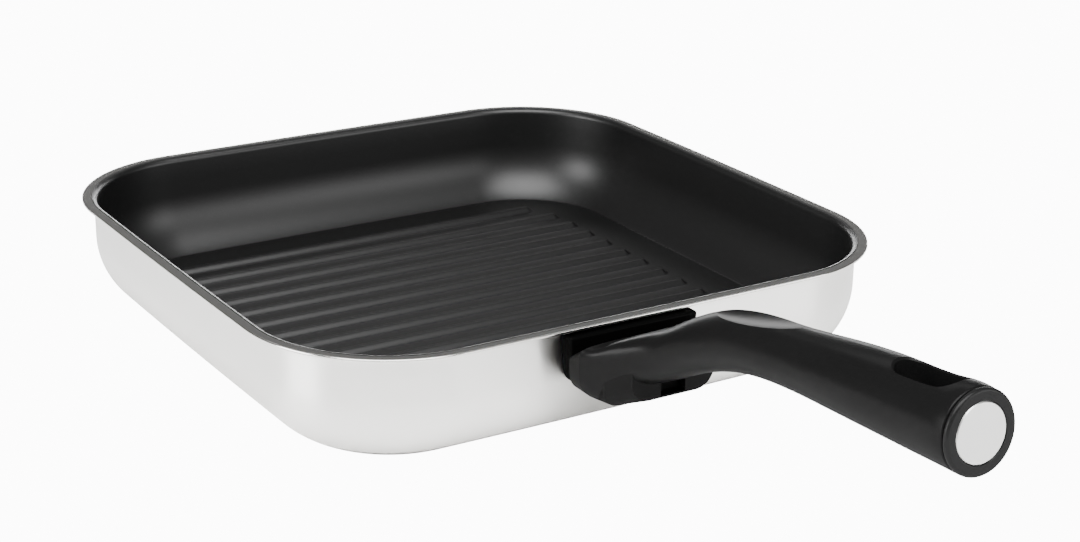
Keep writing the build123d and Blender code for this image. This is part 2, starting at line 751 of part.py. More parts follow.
# Release button: a plate in the cover's face, with two arms that reach back over the bolt's ramps
bar_front = chamber_end + slide_gap
bar_back = bar_front + button_bar
with BuildPart() as release_button:
    with BuildSketch(facing(button_face + button_plate)):
        with Locations((handle_x, button_bottom + button_height / 2)):
            Rectangle(button_width, button_height)
    extrude(amount=button_plate)
    with BuildSketch(side(handle_x)):
        with BuildLine():
            Polyline(
                (button_face, button_bottom),
                (button_face, arm_top),
                (bar_back, arm_top),
                (bar_back, button_bottom),
                close=True,
            )
        make_face()
    extrude(amount=button_width / 2, both=True)
    with BuildSketch(side(handle_x)):
        with BuildLine():
            Polyline(
                (bar_front, arm_top - arm_height),
                (bar_front, arm_top),
                (arm_start, arm_top),
                (arm_start, arm_top - arm_tip),
                (arm_start - arm_height + arm_tip, arm_top - arm_height),
                close=True,
            )
        make_face()
    extrude(amount=arm_outer_width / 2, both=True)
    with BuildSketch(Plane.XY.offset(arm_top - arm_height)):
        with Locations((handle_x, (bar_back + arm_start + overrun) / 2)):
            Rectangle(arm_inner_width, arm_start + overrun - bar_back)
    extrude(amount=arm_height, mode=Mode.SUBTRACT)

# End cap and its disc
cap_face = end_plane.offset(cap_length)
with BuildPart() as end_cap:
    with BuildSketch(end_plane.offset(cap_groove)):
        Circle(grip_diameter / 2)
    extrude(amount=cap_length - cap_groove)
    fillet(end_cap.edges().sort_by(Axis.Y)[0], cap_edge)
    fillet(end_cap.edges().sort_by(Axis.Y)[-1], cap_back_edge)
    with BuildSketch(end_plane):
        Circle(grip_diameter / 2 - cap_groove_depth)
    extrude(amount=cap_groove)
    with BuildSketch(end_plane.offset(-cap_spigot_length)):
        Circle(cap_spigot_radius)
    extrude(amount=cap_spigot_length)
    with BuildSketch(cap_face):
        Circle(disc_radius + rest_gap)
    extrude(amount=-disc_height, mode=Mode.SUBTRACT)

with BuildPart() as end_disc:
    with BuildSketch(Plane(origin=cap_face.origin, x_dir=(1, 0, 0), z_dir=(0, -sin(end_tilt), -cos(end_tilt)))):
        with BuildLine():
            Polyline((0, disc_dome), (0, -disc_height), (disc_radius, -disc_height), (disc_radius, 0))
            dome_radius = (disc_radius**2 + disc_dome**2) / (2 * disc_dome)
            RadiusArc((disc_radius, 0), (0, disc_dome), -dome_radius)
        make_face()
    revolve(axis=Axis(cap_face.origin, cap_face.z_dir))

for name, piece in (
    ("pan_body", pan_body),
    ("heat_core", heat_core),
    ("base_cap", base_cap),
    ("mount_tongue", mount_tongue),
    ("bracket_rivets", bracket_rivets),
    ("bracket_housing", bracket_housing),
    ("bracket_screws", bracket_screws),
    ("socket_frame", socket_frame),
    ("frame_screws", frame_screws),
    ("handle_tang", handle_tang),
    ("grip_body", grip_body),
    ("latch_cover", latch_cover),
    ("cover_screws", cover_screws),
    ("latch_bolt", latch_bolt),
    ("bolt_spring", bolt_spring),
    ("release_button", release_button),
    ("end_cap", end_cap),
    ("end_disc", end_disc),
):
    save(piece, name)
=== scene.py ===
"""Square grill pan with a plug-on handle: finishes, detailed pieces, light and camera.

Sizes are written in millimetres and built in metres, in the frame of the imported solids: the origin is
the centre of the pan's underside, +Z is up and the handle points along -Y.
"""

import logging
import math
from dataclasses import dataclass, field
from enum import Enum

import bmesh
import bpy
from mathutils import Matrix, Vector

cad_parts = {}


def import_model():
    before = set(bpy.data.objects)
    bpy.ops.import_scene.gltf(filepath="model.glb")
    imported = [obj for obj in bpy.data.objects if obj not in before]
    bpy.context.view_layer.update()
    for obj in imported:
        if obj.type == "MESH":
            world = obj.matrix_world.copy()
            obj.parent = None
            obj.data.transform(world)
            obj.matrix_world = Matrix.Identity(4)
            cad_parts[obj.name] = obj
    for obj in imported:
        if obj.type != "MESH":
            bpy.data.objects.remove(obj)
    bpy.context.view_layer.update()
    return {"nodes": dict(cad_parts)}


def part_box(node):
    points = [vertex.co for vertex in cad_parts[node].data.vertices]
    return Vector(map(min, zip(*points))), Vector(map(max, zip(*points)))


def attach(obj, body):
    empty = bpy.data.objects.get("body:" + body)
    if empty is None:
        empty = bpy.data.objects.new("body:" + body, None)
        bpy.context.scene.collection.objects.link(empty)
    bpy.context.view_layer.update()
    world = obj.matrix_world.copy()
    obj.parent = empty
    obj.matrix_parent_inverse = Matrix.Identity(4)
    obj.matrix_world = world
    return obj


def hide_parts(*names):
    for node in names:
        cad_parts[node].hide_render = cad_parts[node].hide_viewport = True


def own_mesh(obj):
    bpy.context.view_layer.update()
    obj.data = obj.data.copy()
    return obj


LOG = logging.getLogger("grill_pan")
MM = 0.001
UP = Vector((0, 0, 1))
WELD = 0.002 * MM  # points nearer to each other than this are one
WAVE_LENGTH = 0.314  # of Blender's wave texture at a scale of 1
# sockets of the Mix node for colours, which have no names of their own
MIX_SHARE, MIX_FIRST, MIX_SECOND, MIXED = 0, 6, 7, 2

Point = tuple[float, float]  # across and up in a profile, in millimetres


class Pattern(Enum):
    """How the fine texture of a finish runs."""

    EVEN = "even"
    TURNED = "turned"


def linear(code: str) -> tuple[float, float, float, float]:
    """Turn an sRGB hex colour into linear red, green, blue and alpha.

    Args:
        code: six hex digits.

    Returns:
        The colour as the shader sockets take it.
    """
    channels = [int(code[i : i + 2], 16) / 255 for i in (0, 2, 4)]
    straight = [c / 12.92 if c <= 0.04045 else ((c + 0.055) / 1.055) ** 2.4 for c in channels]
    return (*straight, 1.0)


def add_node(
    tree: bpy.types.NodeTree,
    kind: str,
    values: dict | None = None,
    links: dict | None = None,
    **settings: object,
) -> bpy.types.Node:
    """Add a node to a material's tree.

    Args:
        tree: the material's node tree.
        kind: the node's type.
        values: inputs, by name or number, with the values to set on them.
        links: inputs, by name or number, with the output sockets that feed them.
        settings: properties of the node itself.

    Returns:
        The new node.
    """
    node = tree.nodes.new(kind)
    for name, value in settings.items():
        setattr(node, name, value)
    for name, value in (values or {}).items():
        node.inputs[name].default_value = value
    for name, socket in (links or {}).items():
        tree.links.new(socket, node.inputs[name])
    return node


@dataclass(frozen=True)
class Finish:
    """A surface made by one process: its colour, its gloss, and the fine texture that breaks both up.

    Attributes:
        name: what the surface is and how it was made.
        colour: its sRGB hex colour.
        metallic: 1 for bare metal, 0 for the rest.
        roughness: its mean roughness.
        spread: how far the grain swings the roughness either way.
        grain_mm: size of the grain.
        grain_depth_mm: depth of its relief.
        stretch: the grain's scale along each axis, where less than 1 draws it out.
        mottle: a second colour that drifts over the first.
        mottle_mm: size of the drifts.
        fleck: colour of the flecks.
        fleck_mm: pitch of the flecks.
        fleck_share: a fleck's radius as a share of that pitch.
        fleck_core: the share of that radius that has the fleck's full colour.
        specular: level of the body's own reflection.
        brushed: how far the fine lines draw each highlight out.
        coat: weight of the thin skin over the body.
        coat_roughness: the skin's roughness.
        pattern: how the texture runs.
        centre: a point on the axis of turned rings, in millimetres.
        tilt: how far that axis leans up from level, in radians.
        ring_mm: pitch of turned rings.
    """

    name: str
    colour: str
    metallic: float
    roughness: float
    spread: float = 0.05
    grain_mm: float = 0.5
    grain_depth_mm: float = 0.004
    stretch: tuple[float, float, float] = (1.0, 1.0, 1.0)
    mottle: str | None = None
    mottle_mm: float = 20.0
    fleck: str | None = None
    fleck_mm: float = 0.9
    fleck_share: float = 0.3
    fleck_core: float = 0.4
    specular: float = 0.5
    brushed: float = 0.0
    coat: float = 0.0
    coat_roughness: float = 0.1
    pattern: Pattern = Pattern.EVEN
    centre: tuple[float, float, float] = (0.0, 0.0, 0.0)
    tilt: float = 0.0
    ring_mm: float = 0.35

    def material(self) -> bpy.types.Material:
        """Build the node material once and hand out the same one afterwards.

        Returns:
            The material.
        """
        known = bpy.data.materials.get(self.name)
        if known:
            return known
        material = bpy.data.materials.new(self.name)
        material.use_nodes = True
        tree = material.node_tree
        shader = tree.nodes["Principled BSDF"]
        shader.inputs["Metallic"].default_value = self.metallic
        shader.inputs["Specular IOR Level"].default_value = self.specular
        shader.inputs["Coat Weight"].default_value = self.coat
        shader.inputs["Coat Roughness"].default_value = self.coat_roughness
        place = add_node(tree, "ShaderNodeTexCoord").outputs["Object"]
        grain = self.texture(tree, place)
        # the finest marks catch the light unevenly, which softens each highlight's edge
        gloss = add_node(
            tree,
            "ShaderNodeMapRange",
            {"To Min": self.roughness - self.spread, "To Max": self.roughness + self.spread},
            {"Value": grain},
        )
        tree.links.new(gloss.outputs["Result"], shader.inputs["Roughness"])
        # relief a few thousandths of a millimetre deep, seen as a fine sparkle close up
        bump = add_node(
            tree,
            "ShaderNodeBump",
            {"Strength": 1.0, "Distance": self.grain_depth_mm * MM},
            {"Height": grain},
        )
        tree.links.new(bump.outputs["Normal"], shader.inputs["Normal"])
        self.paint(tree, place, shader)
        if self.brushed:
            # the lines run level round the pan, so each highlight is drawn out upright
            shader.inputs["Anisotropic"].default_value = self.brushed
            shader.inputs["Anisotropic Rotation"].default_value = 0.25
            tangent = add_node(tree, "ShaderNodeTangent", direction_type="RADIAL", axis="Z")
            tree.links.new(tangent.outputs["Tangent"], shader.inputs["Tangent"])
        return material

    def texture(self, tree: bpy.types.NodeTree, place: bpy.types.NodeSocket) -> bpy.types.NodeSocket:
        """Add the fine texture.

        Args:
            tree: the material's node tree.
            place: the surface's own coordinates.

        Returns:
            The socket that gives the texture's height.
        """
        if self.pattern is Pattern.TURNED:
            mapping = add_node(
                tree,
                "ShaderNodeMapping",
                {
                    "Location": tuple(c * MM for c in self.centre),
                    "Rotation": (math.pi / 2 - self.tilt, 0, 0),
                },
                {"Vector": place},
                vector_type="TEXTURE",
            )
            rings = add_node(
                tree,
                "ShaderNodeTexWave",
                {
                    "Scale": WAVE_LENGTH / (self.ring_mm * MM),
                    "Distortion": 0.6,
                    "Detail": 2.0,
                    "Detail Scale": 2.0,
                },
                {"Vector": mapping.outputs["Vector"]},
                wave_type="RINGS",
                rings_direction="Z",
            )
            return rings.outputs["Fac"]
        mapping = add_node(tree, "ShaderNodeMapping", {"Scale": self.stretch}, {"Vector": place})
        grain = add_node(
            tree,
            "ShaderNodeTexNoise",
            {"Scale": 1 / (self.grain_mm * MM), "Detail": 3.0, "Roughness": 0.6},
            {"Vector": mapping.outputs["Vector"]},
        )
        return grain.outputs["Fac"]

    def paint(
        self, tree: bpy.types.NodeTree, place: bpy.types.NodeSocket, shader: bpy.types.Node
    ) -> None:
        """Colour the surface, with its cloudiness and its flecks.

        Args:
            tree: the material's node tree.
            place: the surface's own coordinates.
            shader: the surface shader.
        """
        colour = None
        if self.mottle:
            # slow clouds of a second tone, as of handling and wiping
            cloud = add_node(
                tree,
                "ShaderNodeTexNoise",
                {"Scale": 1 / (self.mottle_mm * MM), "Detail": 4.0},
                {"Vector": place},
            )
            blend = add_node(
                tree,
                "ShaderNodeMix",
                {MIX_FIRST: linear(self.colour), MIX_SECOND: linear(self.mottle)},
                {MIX_SHARE: cloud.outputs["Fac"]},
                data_type="RGBA",
            )
            colour = blend.outputs[MIXED]
        if self.fleck:
            # mineral flecks in the sprayed layer, a few tenths of a millimetre across
            cells = add_node(
                tree,
                "ShaderNodeTexVoronoi",
                {"Scale": 1 / (self.fleck_mm * MM)},
                {"Vector": place},
            )
            spot = add_node(
                tree,
                "ShaderNodeMapRange",
                {
                    "From Min": self.fleck_share,
                    "From Max": self.fleck_share * self.fleck_core,
                    "To Min": 0.0,
                    "To Max": 1.0,
                },
                {"Value": cells.outputs["Distance"]},
            )
            flecked = add_node(
                tree,
                "ShaderNodeMix",
                {MIX_FIRST: linear(self.colour), MIX_SECOND: linear(self.fleck)},
                {MIX_SHARE: spot.outputs["Result"]},
                data_type="RGBA",
            )
            if colour:
                tree.links.new(colour, flecked.inputs[MIX_FIRST])
            colour = flecked.outputs[MIXED]
        if colour:
            tree.links.new(colour, shader.inputs["Base Color"])
        else:
            shader.inputs["Base Color"].default_value = linear(self.colour)


@dataclass(frozen=True)
class Rim:
    """The rim seen from above: a square with bowed sides and round corners.

    Attributes:
        width: across the sides at the middle of their bow.
        corner: radius of the corners.
        bow: how far a side swells out past its ends.
        side_steps: runs along a side.
        corner_steps: runs round a corner.
    """

    width: float = 281.0
    corner: float = 61.0
    bow: float = 1.2
    side_steps: int = 20
    corner_steps: int = 36

    def ring(self, inset: float, level: float) -> list[Vector]:
        """Points round the outline, drawn in by an inset, at a level.

        Args:
            inset: how far inside the rim the ring lies, in millimetres.
            level: its height, in millimetres.

        Returns:
            The points in metres, anticlockwise, starting on the right side.
        """
        half = self.width / 2 - self.bow - inset
        radius = (half**2 + self.bow**2) / (2 * self.bow)
        side_centre = half + self.bow - radius
        corner = self.corner - inset
        corner_centre = (side_centre + math.sqrt(2 * (radius - corner) ** 2 - side_centre**2)) / 2
        lean = math.atan2(corner_centre, corner_centre - side_centre)
        quarter = []
        for i in range(self.side_steps):
            turn = -lean + 2 * lean * i / self.side_steps
            quarter.append((side_centre + radius * math.cos(turn), radius * math.sin(turn)))
        for i in range(self.corner_steps):
            turn = lean + (math.pi / 2 - 2 * lean) * i / self.corner_steps
            quarter.append(
                (corner_centre + corner * math.cos(turn), corner_centre + corner * math.sin(turn))
            )
        points = []
        for x, y in ((1, 0), (0, 1), (-1, 0), (0, -1)):
            points += [Vector((x * a - y * b, y * a + x * b, level)) * MM for a, b in quarter]
        return points


def bend_point(centre: Point, radius: float, turn: float) -> Point:
    """Find a point of a bend in a profile of inset and level.

    Args:
        centre: the bend's centre.
        radius: its radius.
        turn: the angle in degrees, from the inset's direction towards the level's.

    Returns:
        The point.
    """
    angle = math.radians(turn)
    return (centre[0] + radius * math.cos(angle), centre[1] + radius * math.sin(angle))


def arc(centre: Point, radius: float, start: float, end: float, steps: int) -> list[Point]:
    """Run round a bend in a profile of inset and level.

    Args:
        centre: the bend's centre.
        radius: its radius.
        start: the angle where it starts, in degrees.
        end: the angle where it ends.
        steps: how many runs it has.

    Returns:
        The points, both ends among them.
    """
    return [bend_point(centre, radius, start + (end - start) * i / steps) for i in range(steps + 1)]


def loft(
    shape: bmesh.types.BMesh,
    rings: list[list[Vector]],
    cap_start: bool = False,
    cap_end: bool = False,
) -> None:
    """Extrude a closed ring of points from one place to the next.

    Args:
        shape: the mesh that the faces go into.
        rings: the rings, each with the same number of points.
        cap_start: whether the first ring gets a face.
        cap_end: whether the last ring gets a face.
    """
    verts = [shape.verts.new(point) for point in rings[0]]
    edges = [shape.edges.new(pair) for pair in zip(verts, verts[1:] + verts[:1])]
    if cap_start:
        bmesh.ops.contextual_create(shape, geom=edges)
    for ring in rings[1:]:
        grown = set(bmesh.ops.extrude_edge_only(shape, edges=edges)["geom"])
        verts = [next(e.other_vert(v) for e in v.link_edges if e.other_vert(v) in grown) for v in verts]
        for vert, point in zip(verts, ring):
            vert.co = point
        edges = [shape.edges.get(pair) for pair in zip(verts, verts[1:] + verts[:1])]
    if cap_end:
        bmesh.ops.contextual_create(shape, geom=edges)


def finished(shape: bmesh.types.BMesh, name: str, finish: Finish, sharp: float) -> bpy.types.Object:
    """Turn a mesh under construction into a dressed object.

    Args:
        shape: the mesh, which is freed.
        name: the piece's name.
        finish: its finish.
        sharp: edges that bend more than this, in degrees, stay crisp.

    Returns:
        The object, linked into the scene.
    """
    bmesh.ops.remove_doubles(shape, verts=shape.verts, dist=WELD)
    bmesh.ops.recalc_face_normals(shape, faces=shape.faces)
    for face in shape.faces:
        face.smooth = True
    for edge in shape.edges:
        if len(edge.link_faces) == 2 and edge.calc_face_angle() > math.radians(sharp):
            edge.smooth = False
    mesh = bpy.data.meshes.new(name)
    shape.to_mesh(mesh)
    shape.free()
    piece = bpy.data.objects.new(name, mesh)
    bpy.context.scene.collection.objects.link(piece)
    mesh.materials.append(finish.material())
    return piece


# Polished stainless sheet: bright all over, with fine level lines that soften what it mirrors
POLISHED_STEEL = Finish(
    "polished_stainless_steel",
    colour="F0EFEC",
    metallic=1.0,
    roughness=0.32,
    spread=0.03,
    grain_mm=0.6,
    grain_depth_mm=0.0003,
    stretch=(0.12, 0.12, 1.0),
    mottle="E8E7E3",
    mottle_mm=60.0,
    brushed=0.9,
)
# Buffed stainless lip: a narrow, sharper mirror that outlines the pan
LIP_STEEL = Finish(
    "buffed_steel_lip",
    colour="DAD9D6",
    metallic=1.0,
    roughness=0.12,
    spread=0.02,
    grain_mm=0.6,
    grain_depth_mm=0.0004,
    mottle="D0CFCB",
    mottle_mm=50.0,
)
# Sprayed non-stick layer: deep black and silky, with broad highlights and tiny mineral flecks
LINING = Finish(
    "sprayed_nonstick_lining",
    colour="050505",
    metallic=0.0,
    roughness=0.41,
    grain_mm=0.4,
    grain_depth_mm=0.008,
    fleck="2A2A2A",
    fleck_share=0.14,
    specular=0.37,
)
# The plastics are matt black mouldings. Their light comes off the thin skin alone, which keeps the
# flanks dark where the floor would glare in them.

# Grip moulding: a dim sheen along the crest and the round of the grip
GRIP_PLASTIC = Finish(
    "moulded_grip_plastic",
    colour="0C0C0C",
    metallic=0.0,
    roughness=0.5,
    spread=0.04,
    grain_mm=0.3,
    mottle="101010",
    mottle_mm=35.0,
    specular=0.0,
    coat=0.14,
    coat_roughness=0.28,
)
# Bracket and button mouldings: black plastic, painted darker than the grip's with the shade that they
# sit in under the lip and the handle, so that their gaps close up to the eye
BRACKET_PLASTIC_AND_PAINTED_SHADE = Finish(
    "moulded_bracket_plastic_and_painted_shade",
    colour="040404",
    metallic=0.0,
    roughness=0.5,
    spread=0.04,
    grain_mm=0.3,
    specular=0.0,
    coat=0.03,
    coat_roughness=0.35,
)
# Latch cover moulding: a little duller than the grip, so that its seam shows
LATCH_PLASTIC = Finish(
    "moulded_latch_plastic",
    colour="0B0B0B",
    metallic=0.0,
    roughness=0.5,
    spread=0.04,
    grain_mm=0.3,
    specular=0.0,
    coat=0.12,
    coat_roughness=0.32,
)
# End ring moulding: a touch greyer, which sets it off from the grip
CAP_PLASTIC = Finish(
    "moulded_cap_plastic",
    colour="141414",
    metallic=0.0,
    roughness=0.5,
    spread=0.04,
    grain_mm=0.3,
    specular=0.0,
    coat=0.2,
    coat_roughness=0.3,
)
# Pressed and turned steel of the mechanism: plain grey, with soft reflections
PLAIN_STEEL = Finish(
    "pressed_steel",
    colour="9C9C9C",
    metallic=1.0,
    roughness=0.32,
    spread=0.06,
    grain_mm=0.6,
    mottle="8A8A88",
)
# Rolled aluminium plate: pale, with the rolling lines drawn out along X
CORE_ALUMINIUM = Finish(
    "rolled_aluminium",
    colour="C4C6C8",
    metallic=1.0,
    roughness=0.36,
    spread=0.06,
    grain_mm=0.6,
    stretch=(0.1, 1.0, 1.0),
)
# Satin stainless base: clearer reflections than the wall's, which set its round edge off
BASE_STEEL = Finish(
    "satin_base_steel",
    colour="DEDDD9",
    metallic=1.0,
    roughness=0.17,
    spread=0.03,
    grain_depth_mm=0.0008,
    stretch=(1.0, 1.0, 0.12),
    mottle="D2D1CD",
    mottle_mm=60.0,
)

CAD_FINISHES = {
    "heat_core": CORE_ALUMINIUM,
    "mount_tongue": PLAIN_STEEL,
    "bracket_housing": BRACKET_PLASTIC_AND_PAINTED_SHADE,
    "bracket_screws": PLAIN_STEEL,
    "socket_frame": PLAIN_STEEL,
    "frame_screws": PLAIN_STEEL,
    "handle_tang": PLAIN_STEEL,
    "grip_body": GRIP_PLASTIC,
    "latch_cover": LATCH_PLASTIC,
    "cover_screws": PLAIN_STEEL,
    "latch_bolt": PLAIN_STEEL,
    "release_button": BRACKET_PLASTIC_AND_PAINTED_SHADE,
}


@dataclass
class Pan:
    """The pressed pan: its polished shell, the lining with its ribs, and the cap under its base.

    Attributes:
        rim: the outline that every ring follows.
        height: of the rim.
        lip: how far the rim stands out past the wall.
        shoulder: radius of the bend from the inner wall to the lip.
        sheet: thickness of the shell.
        fillet: outer radius between the wall and the base.
        floor: height of the shell's floor.
        cap_sheet: thickness of the base cap.
        cap_rest: how far inside its fillet the cap's underside has a ring of its own.
        lining_sheet: thickness of the lining.
        lining_start: how far up the shoulder the lining starts, in degrees.
        lining_tuck: how far below that its hidden edge lies, in degrees.
        lip_edge: radius of the lip's edge.
        floor_blend: radius of the small bend between the fillet and the floor.
        rib_count: number of ribs.
        rib_pitch: from rib to rib.
        rib_width: across a rib at its waist, half of which comes off each end of its straight part.
        rib_height: from the shell's floor to a rib's top.
        rib_top: width of the level top.
        rib_foot: width of the soft foot.
        rib_margin: from a rib's end to the floor's edge.
        floor_corner: radius of the floor's corners.
        sharp: edges that bend more than this, in degrees, stay crisp.
        lining_sharp: the same for the lining.
    """

    rim: Rim = field(default_factory=Rim)
    height: float = 52.0
    lip: float = 5.0
    shoulder: float = 2.5
    sheet: float = 1.2
    fillet: float = 34.0
    floor: float = 8.0
    cap_sheet: float = 0.8
    cap_rest: float = 5.0
    lining_sheet: float = 0.2
    lining_start: float = 80.0
    lining_tuck: float = 2.0
    lip_edge: float = 0.45
    floor_blend: float = 1.6
    rib_count: int = 14
    rib_pitch: float = 15.3
    rib_width: float = 5.0
    rib_height: float = 2.4
    rib_top: float = 1.6
    rib_foot: float = 8.4
    rib_margin: float = 20.0
    floor_corner: float = 46.0
    sharp: float = 60.0
    lining_sharp: float = 50.0
    # runs of each bend and flank
    outer_steps: int = 26
    wall_steps: int = 4
    bend_steps: int = 5
    edge_steps: int = 4
    shoulder_steps: int = 10
    inner_steps: int = 14
    lining_steps: int = 20
    blend_steps: int = 5
    base_steps: int = 20
    base_inner_steps: int = 10
    flank_steps: int = 12
    rib_end_steps: int = 16

    @property
    def seam(self) -> float:
        """Height of the seam between the shell and the base cap."""
        return self.floor - self.sheet

    @property
    def middle_inset(self) -> float:
        """Inset of the ring that closes a level face, just short of the corners' centres."""
        return self.rim.corner - self.lip

    @property
    def outer_angle(self) -> float:
        """Angle of the outer fillet at the seam, in degrees."""
        return math.degrees(math.asin(1 - self.seam / self.fillet))

    def rings(self, profile: list[Point]) -> list[list[Vector]]:
        """Run a profile round the rim's outline."""
        return [self.rim.ring(inset, level) for inset, level in profile]

    def outer_profile(self, start: float, end: float, steps: int) -> list[Point]:
        """The outer fillet between two angles, counted in degrees up from level."""
        centre = (self.lip + self.fillet, self.fillet)
        return arc(centre, self.fillet, 180 + start, 180 + end, steps)

    def shell(self) -> bpy.types.Object:
        """Build the steel shell with its lip.

        Returns:
            The shell.
        """
        wall = self.lip + self.sheet
        bend = self.shoulder - self.sheet
        under = self.height - self.sheet
        inner = self.fillet - self.sheet
        inner_end = math.degrees(math.asin((self.fillet - self.floor) / inner))
        edge = self.lip_edge
        profile = [(self.middle_inset, self.seam)]
        # up the outside, out under the lip and round its edge
        profile += self.outer_profile(self.outer_angle, 0, self.outer_steps)
        for i in range(1, self.wall_steps):
            profile.append((self.lip, self.fillet + (under - bend - self.fillet) * i / self.wall_steps))
        profile += arc((self.lip - bend, under - bend), bend, 0, 90, self.bend_steps)
        profile += [(self.lip / 2, under), (edge, under)]
        profile += arc((edge, under + edge), edge, 270, 180, self.edge_steps)[1:]
        profile += arc((edge, self.height - edge), edge, 180, 90, self.edge_steps)
        # back over the lip, down the inside and in over the floor
        profile += [(self.lip / 3, self.height), (self.lip / 2, self.height)]
        start = (wall - self.shoulder, self.height - self.shoulder)
        profile += arc(start, self.shoulder, 90, 0, self.shoulder_steps)
        profile += [(wall, self.fillet + (self.height - self.shoulder - self.fillet) / 2)]
        profile += arc((wall + inner, self.fillet), inner, 180, 180 + inner_end, self.inner_steps)
        profile += [(self.middle_inset, self.floor)]
        shape = bmesh.new()
        loft(shape, self.rings(profile), cap_start=True, cap_end=True)
        piece = finished(shape, "steel_shell", POLISHED_STEEL, self.sharp)
        piece.data.materials.append(LIP_STEEL.material())
        # the second material takes the lip, its edge and the top of the shoulder
        for face in piece.data.polygons:
            if face.center.z > (under + edge / 2) * MM:
                face.material_index = 1
        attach(piece, "pan")
        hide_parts("pan_body")
        return piece

    def lining(self) -> bpy.types.Object:
        """Build the lining, which follows the shell from its shoulder down, with the grill ribs.

        Returns:
            The lining.
        """
        wall = self.lip + self.sheet + self.lining_sheet
        shoulder = self.shoulder + self.lining_sheet
        inner = self.fillet - self.sheet - self.lining_sheet
        level = self.floor + self.lining_sheet
        centre = (wall + inner, self.fillet)
        # the small bend between the big fillet and the floor touches both
        blend = self.floor_blend
        meet = math.degrees(math.asin((self.fillet - level - blend) / (inner - blend)))
        blend_inset = centre[0] - (inner - blend) * math.cos(math.radians(meet))
        start = (self.lip + self.sheet - self.shoulder, self.height - self.shoulder)
        # the edge is tucked into the shell, so that no gap shows beside the lip
        tucked = self.lining_start - self.lining_tuck
        profile = [bend_point(start, self.shoulder - self.lining_sheet, tucked)]
        profile += arc(start, shoulder, self.lining_start, 0, self.shoulder_steps)
        profile += [(wall, self.fillet + (self.height - self.shoulder - self.fillet) / 2)]
        profile += arc(centre, inner, 180, 180 + meet, self.lining_steps)
        profile += arc((blend_inset, level + blend), blend, 180 + meet, 270, self.blend_steps)[1:]
        profile += [(self.middle_inset, level)]
        shape = bmesh.new()
        loft(shape, self.rings(profile), cap_end=True)
        for number in range(self.rib_count):
            self.rib(shape, (number - (self.rib_count - 1) / 2) * self.rib_pitch, level, blend_inset)
        piece = finished(shape, "nonstick_lining", LINING, self.lining_sharp)
        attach(piece, "pan")
        return piece

    def rib(self, shape: bmesh.types.BMesh, y: float, level: float, floor_inset: float) -> None:
        """Add one rib: a bar with round ends, a narrow top and a soft foot.

        Args:
            shape: the lining's mesh.
            y: the rib's place along the handle's direction.
            level: the floor's level.
            floor_inset: how far the floor's edge lies inside the rim.
        """
        straight = self.rim.width / 2 - floor_inset - self.floor_corner
        past = max(0.0, abs(y) - straight)
        reach_of_floor = straight + math.sqrt(self.floor_corner**2 - past**2)
        half = reach_of_floor - self.rib_margin - self.rib_width / 2
        rings = []
        # the flank swings from the floor into the top, so that no edge shows under the lining
        for step in range(self.flank_steps + 1):
            reach = (self.rib_foot + (self.rib_top - self.rib_foot) * step / self.flank_steps) / 2
            swing = (1 - math.cos(math.pi * step / self.flank_steps)) / 2
            height = level + (self.rib_height - self.lining_sheet) * swing
            ring = []
            for end in (1, -1):
                for i in range(self.rib_end_steps + 1):
                    turn = math.pi * (i / self.rib_end_steps - 0.5)
                    x = end * (half + reach * math.cos(turn))
                    ring.append(Vector((x, y + end * reach * math.sin(turn), height)) * MM)
            rings.append(ring)
        loft(shape, rings, cap_end=True)

    def base(self) -> bpy.types.Object:
        """Build the steel cap that wraps the base, level underneath and open to the core above.

        Returns:
            The base cap.
        """
        inner = self.fillet - self.cap_sheet
        inner_angle = math.degrees(math.asin((self.fillet - self.seam) / inner))
        profile = [(self.middle_inset, 0.0), (self.lip + self.fillet + self.cap_rest, 0.0)]
        profile += self.outer_profile(90, self.outer_angle, self.base_steps)
        centre = (self.lip + self.fillet, self.fillet)
        profile += arc(centre, inner, 180 + inner_angle, 270, self.base_inner_steps)
        profile += [(self.middle_inset, self.cap_sheet)]
        shape = bmesh.new()
        loft(shape, self.rings(profile), cap_start=True, cap_end=True)
        piece = finished(shape, "base_cap_sheet", BASE_STEEL, self.sharp)
        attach(piece, "pan")
        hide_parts("base_cap")
        return piece

    def build(self) -> list[bpy.types.Object]:
        """Build the pan's pieces."""
        return [self.shell(), self.lining(), self.base()]


@dataclass
class Turned:
    """A piece turned round an axis.

    Attributes:
        name: the piece's name.
        body: the body that it rides on.
        node: the CAD node that it stands for.
        slot: name of a material slot; not used.
        finish: its finish.
        steps: runs round the axis.
        sharp: edges that bend more than this, in degrees, stay crisp.
    """

    name: str
    body: str
    node: str
    slot: str
    finish: Finish
    steps: int = 96
    sharp: float = 35.0

    def spin(self, outlines: list[list[Point]], places: list[Matrix]) -> bpy.types.Object:
        """Spin an outline at each place.

        Args:
            outlines: for each place, points of radius and height in millimetres, from pole to pole.
            places: where each axis stands, its +Z along the height.

        Returns:
            The finished piece.
        """
        shape = bmesh.new()
        for outline, place in zip(outlines, places):
            verts = [shape.verts.new(place @ Vector((r * MM, 0, h * MM))) for r, h in outline]
            edges = [shape.edges.new(pair) for pair in zip(verts, verts[1:])]
            bmesh.ops.spin(
                shape,
                geom=verts + edges,
                cent=place.translation,
                axis=place.to_3x3() @ UP,
                angle=2 * math.pi,
                steps=self.steps,
                use_merge=True,
            )
        piece = finished(shape, self.name, self.finish, self.sharp)
        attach(piece, self.body)
        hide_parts(self.node)
        return piece


